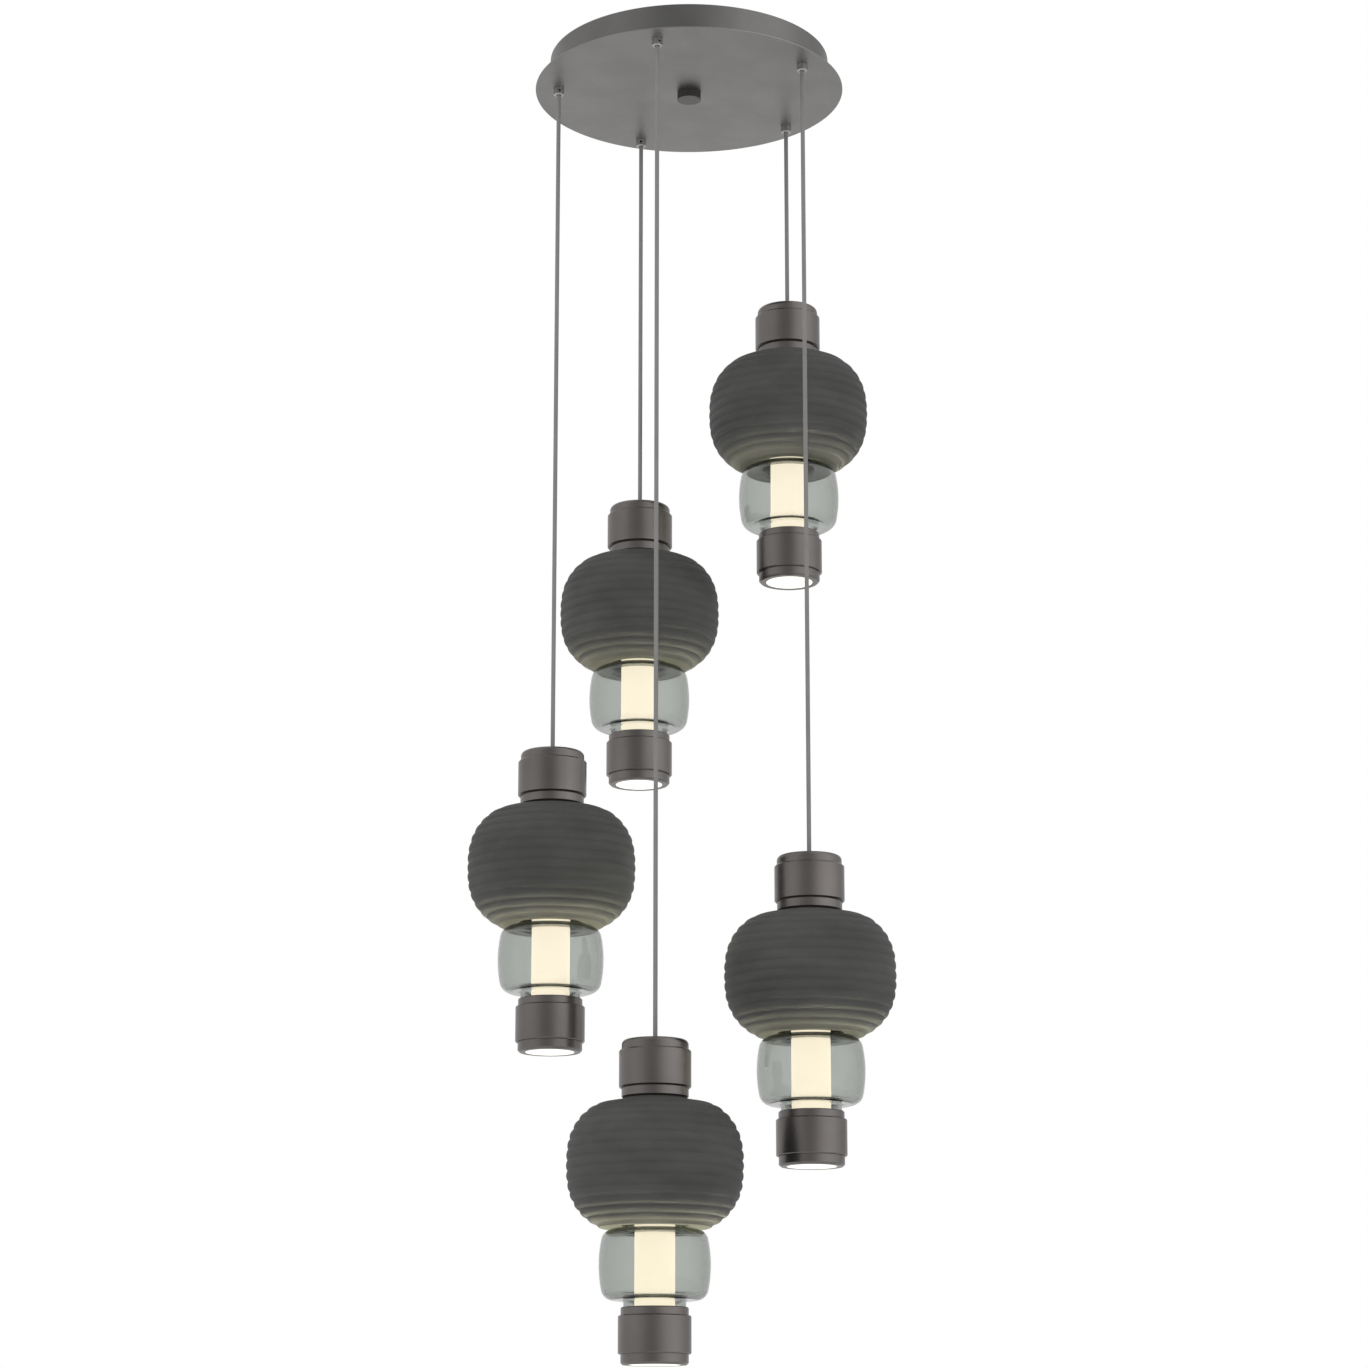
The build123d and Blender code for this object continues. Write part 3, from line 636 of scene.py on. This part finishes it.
# %% Blow the glass
def barrel_wall(inset):
    """One face of the wall, from the upper neck's bend to the lower neck's bend."""
    bend_at = (NECK + NECK_BEND, GLASS_HALF + NECK_BEND)
    corner_at = (corner_radius, GLASS_HALF - CORNER)
    points = arc(bend_at, NECK_BEND + inset, 180, 270, BEND_STEPS)
    points += arc(corner_at, CORNER - inset, 90, tilt, CORNER_STEPS)
    points += arc(side_centre, SIDE_ARC - inset, tilt, -tilt, SIDE_STEPS)[1:]
    points += arc((corner_at[0], -corner_at[1]), CORNER - inset, -tilt, -90, CORNER_STEPS)[1:]
    points += arc((bend_at[0], -bend_at[1]), NECK_BEND + inset, 90, 180, BEND_STEPS)
    return points


def fire_polished(outer, inner, height, way):
    """A rounded rim between the two faces of a neck."""
    middle = ((outer + inner) / 2, height - way * (outer - inner) / 2)
    return arc(middle, (outer - inner) / 2, 0, 180 * way, RIM_STEPS)


def blown_glass(name):
    """One glass barrel under its shade, in the place of the CAD's."""
    top = GLASS_HALF + TOP_NECK
    bottom = -GLASS_HALF - LOW_NECK
    points = barrel_wall(0.0)
    points += fire_polished(NECK, NECK - GLASS_WALL, bottom, -1)
    points += reversed(barrel_wall(GLASS_WALL))
    points += reversed(fire_polished(NECK, NECK - GLASS_WALL, top, 1))
    bm = lathe(points, GLASS_STEPS)
    middle = cap_top(name) - Vector((0, 0, GLASS_MIDDLE))
    bmesh.ops.translate(bm, vec=middle, verts=bm.verts[:])
    glass = finish_piece(bm, f"blown_glass_{name}", smoked_glass, f"pendant_{name}", sharp_degrees=60)
    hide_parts(f"glass_{name}")
    return glass


for name in PENDANTS:
    glass = blown_glass(name)
    low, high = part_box(f"glass_{name}")
    print(glass.name, "faces", len(glass.data.polygons), "CAD height", round(high.z - low.z, 4))

# %% [markdown]
# ## The cords
#
# Each pendant's weight pulls its cord straight, so its route is a plumb line from the grip's mouth to the
# cap, and the length is what the photograph shows. It is a curve with a round bevel: a smooth spline with
# a few control points that bulges nowhere, because they lie in one line.

# %% Hang the cords
CORD_RADIUS = 2.7 * MM
END_INSET = 0.35 * CORD_RADIUS
STRAIGHT_END = 20 * MM


def hang_cord(name):
    """A taut cord along its CAD solid, from the bend in the grip to the bend in the anchor."""
    low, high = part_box(f"cord_{name}")
    centre = joint_points[f"cord_swing_{name}"]
    bottom = low.z + END_INSET
    top = high.z - END_INSET
    curve = bpy.data.curves.new(f"sheathed_cord_{name}", "CURVE")
    curve.dimensions = "3D"
    curve.bevel_depth = CORD_RADIUS
    curve.bevel_resolution = 5
    curve.use_fill_caps = True
    spline = curve.splines.new("NURBS")
    heights = [top, top - STRAIGHT_END, (top + bottom) / 2, bottom + STRAIGHT_END, bottom]
    spline.points.add(len(heights) - 1)
    for point, height in zip(spline.points, heights):
        point.co = (centre.x, centre.y, height, 1.0)
    spline.order_u = 3
    spline.use_endpoint_u = True
    curve.materials.append(sheath)
    cord = bpy.data.objects.new(f"sheathed_cord_{name}", curve)
    bpy.context.scene.collection.objects.link(cord)
    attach(cord, f"hanging_cord_{name}")
    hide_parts(f"cord_{name}")
    return top - bottom


for name in PENDANTS:
    print("cord", name, "length", round(hang_cord(name), 4))

# %% [markdown]
# ## The studio
#
# The photograph was taken from below, so the camera stands low and looks up. Its place was solved from
# the canopy's rim, the cords and the pendants, and it is given here in metres in the part's own frame.

# %% The camera
CAMERA_PLACE = (-0.0067, -4.2027, -1.8834)
CAMERA_PITCH = 13.839
FIELD_OF_VIEW = 22.67

camera_data = bpy.data.cameras.new("camera")
camera_data.sensor_fit = "HORIZONTAL"
camera_data.angle = radians(FIELD_OF_VIEW)
camera_data.clip_end = 50
camera = bpy.data.objects.new("camera", camera_data)
camera.location = CAMERA_PLACE
camera.rotation_euler = (radians(90 + CAMERA_PITCH), 0, 0)
bpy.context.scene.collection.objects.link(camera)
bpy.context.scene.camera = camera
print("camera", CAMERA_PLACE, "pitch", CAMERA_PITCH)

# %% [markdown]
# The room is white. Satin metal has no looks of its own: it shows the room, so the room that glossy rays
# see has a few soft changes round its wall, a darker stretch behind the camera and a brighter one to its
# right. Camera rays and rays through the glass see plain white, and the light that falls on the object
# is an even, plain level. The wall's levels are pairs of a share of the way round and a brightness. A
# colour ramp can't go above one, so it holds shares of the brightest level.

# %% The room's light
ROOM_WALL = [
    (0.00, 0.82), (0.05, 0.94), (0.09, 0.90), (0.14, 0.76), (0.185, 0.44), (0.245, 0.36), (0.285, 0.56),
    (0.335, 1.10), (0.42, 1.40), (0.47, 1.30), (0.54, 0.90), (0.60, 0.50), (0.70, 0.90), (0.90, 0.80),
]
ROOM_BRIGHTEST = 1.5
AMBIENT = 0.82

world = bpy.data.worlds.new("studio")
bpy.context.scene.world = world
world.use_nodes = True
world.node_tree.nodes.clear()


def world_node(kind, inputs=None, **settings):
    """A new node in the world's own tree."""
    return add_node(world, kind, inputs, **settings)


def mixed(factor, first, second):
    """One shader or the other, by a factor."""
    return world_node("ShaderNodeMixShader", {0: factor, 1: first, 2: second}).outputs[0]


def background(colour, strength):
    """An even or patterned room of a strength."""
    return world_node("ShaderNodeBackground", {"Color": colour, "Strength": strength}).outputs[0]


direction = world_node("ShaderNodeTexCoord").outputs["Generated"]
around = world_node("ShaderNodeTexGradient", {"Vector": direction}, gradient_type="RADIAL")
wall = world_node("ShaderNodeValToRGB", {"Fac": around.outputs["Fac"]})
wall.color_ramp.interpolation = "B_SPLINE"
while len(wall.color_ramp.elements) < len(ROOM_WALL):
    wall.color_ramp.elements.new(0.5)
for element, (position, level) in zip(wall.color_ramp.elements, ROOM_WALL):
    element.position = position
    share = level / ROOM_BRIGHTEST
    element.color = (share, share, share, 1.0)
path = world_node("ShaderNodeLightPath").outputs
looks = {0: path["Is Camera Ray"], 1: path["Is Transmission Ray"]}
seen = world_node("ShaderNodeMath", looks, operation="MAXIMUM").outputs[0]
plain = background((1, 1, 1, 1), AMBIENT)
reflected = background(wall.outputs["Color"], ROOM_BRIGHTEST)
white = background((1, 1, 1, 1), 1.0)
shown = mixed(seen, mixed(path["Is Glossy Ray"], plain, reflected), white)
world_node("ShaderNodeOutputWorld", {"Surface": shown})
print("room wall levels", len(ROOM_WALL))

# %% [markdown]
# Two large softboxes stand left and right in front of the light and aim at the middle of the pendants. They
# give the clay its shape, and are kept out of the metal's and the glass's reflections.

# %% Soft lamps
AIM = (0, 0, -0.95)


def soft_lamp(name, place, size, power):
    """A round softbox of a size in metres that looks at the aim."""
    data = bpy.data.lights.new(name, "AREA")
    data.shape = "DISK"
    data.size = size
    data.energy = power
    lamp = bpy.data.objects.new(name, data)
    lamp.location = place
    lamp.rotation_euler = (Vector(AIM) - Vector(place)).to_track_quat("-Z", "Y").to_euler()
    lamp.visible_glossy = False
    lamp.visible_transmission = False
    bpy.context.scene.collection.objects.link(lamp)


soft_lamp("left_softbox", (-3.2, -2.2, 0.6), 1.8, 40)
soft_lamp("right_softbox", (3.4, -2.6, -0.2), 1.6, 30)
print("lamps placed")

# %% [markdown]
# A lit tube also shines up through its glass on the foot of the shade. The renderer carries hardly any of
# that light through two bent faces of glass, so a soft disk of warm light stands in for it below each foot.
# It lights only the shades, no camera sees it, and it rides on its pendant's housing.

# %% The glow under each shade
GLOW_RADIUS = 68.0 * MM
GLOW_DROP = 60.0 * MM
GLOW_DEPTH = CAP_HEIGHT + SHADE_HEIGHT + GLOW_DROP
GLOW_POWER = 4.2
GLOW_COLOUR = srgb(255, 247, 214)[:3]
shades = bpy.data.collections.new("lit_shades")
for name in PENDANTS:
    shades.objects.link(bpy.data.objects[f"thrown_shade_{name}"])


def tube_glow(name):
    """The light that a lit tube and its glass shed up on the shade, as a soft disk below it."""
    data = bpy.data.lights.new(f"tube_glow_{name}", "AREA")
    data.shape = "DISK"
    data.size = 2 * GLOW_RADIUS
    data.energy = GLOW_POWER
    data.color = GLOW_COLOUR
    glow = bpy.data.objects.new(f"tube_glow_{name}", data)
    glow.location = cap_top(name) - Vector((0, 0, GLOW_DEPTH))
    glow.rotation_euler = (pi, 0, 0)
    for ray in ("camera", "glossy", "transmission"):
        setattr(glow, f"visible_{ray}", False)
    bpy.context.scene.collection.objects.link(glow)
    glow.parent = NODES[f"housing_{name}"]
    glow.matrix_parent_inverse = glow.parent.matrix_world.inverted()
    glow.light_linking.receiver_collection = shades


for name in PENDANTS:
    tube_glow(name)
print("glow under", len(PENDANTS), "shades")

# %% [markdown]
# The floor is a plain pale disk well below the lowest pendant.

# %% The floor
FLOOR_HEIGHT = -2.45
FLOOR_RADIUS = 6.0
FLOOR_SIDES = 96
bm = bmesh.new()
bmesh.ops.create_circle(bm, cap_ends=True, radius=FLOOR_RADIUS, segments=FLOOR_SIDES)
bmesh.ops.translate(bm, vec=(0, 0, FLOOR_HEIGHT), verts=bm.verts[:])
floor_mesh = bpy.data.meshes.new("studio_floor")
bm.to_mesh(floor_mesh)
bm.free()
pale_floor, floor_shader = new_material("pale_floor", Roughness=0.9)
floor_tone = object_noise(pale_floor, 2, detail=2)
floor_colour = ramp(pale_floor, floor_tone, srgb(236, 236, 235), srgb(240, 240, 239))
link(pale_floor, floor_colour, floor_shader, "Base Color")
floor_mesh.materials.append(pale_floor)
floor = bpy.data.objects.new("studio_floor", floor_mesh)
bpy.context.scene.collection.objects.link(floor)
bpy.context.scene.view_settings.view_transform = "Standard"
print("floor at", FLOOR_HEIGHT)
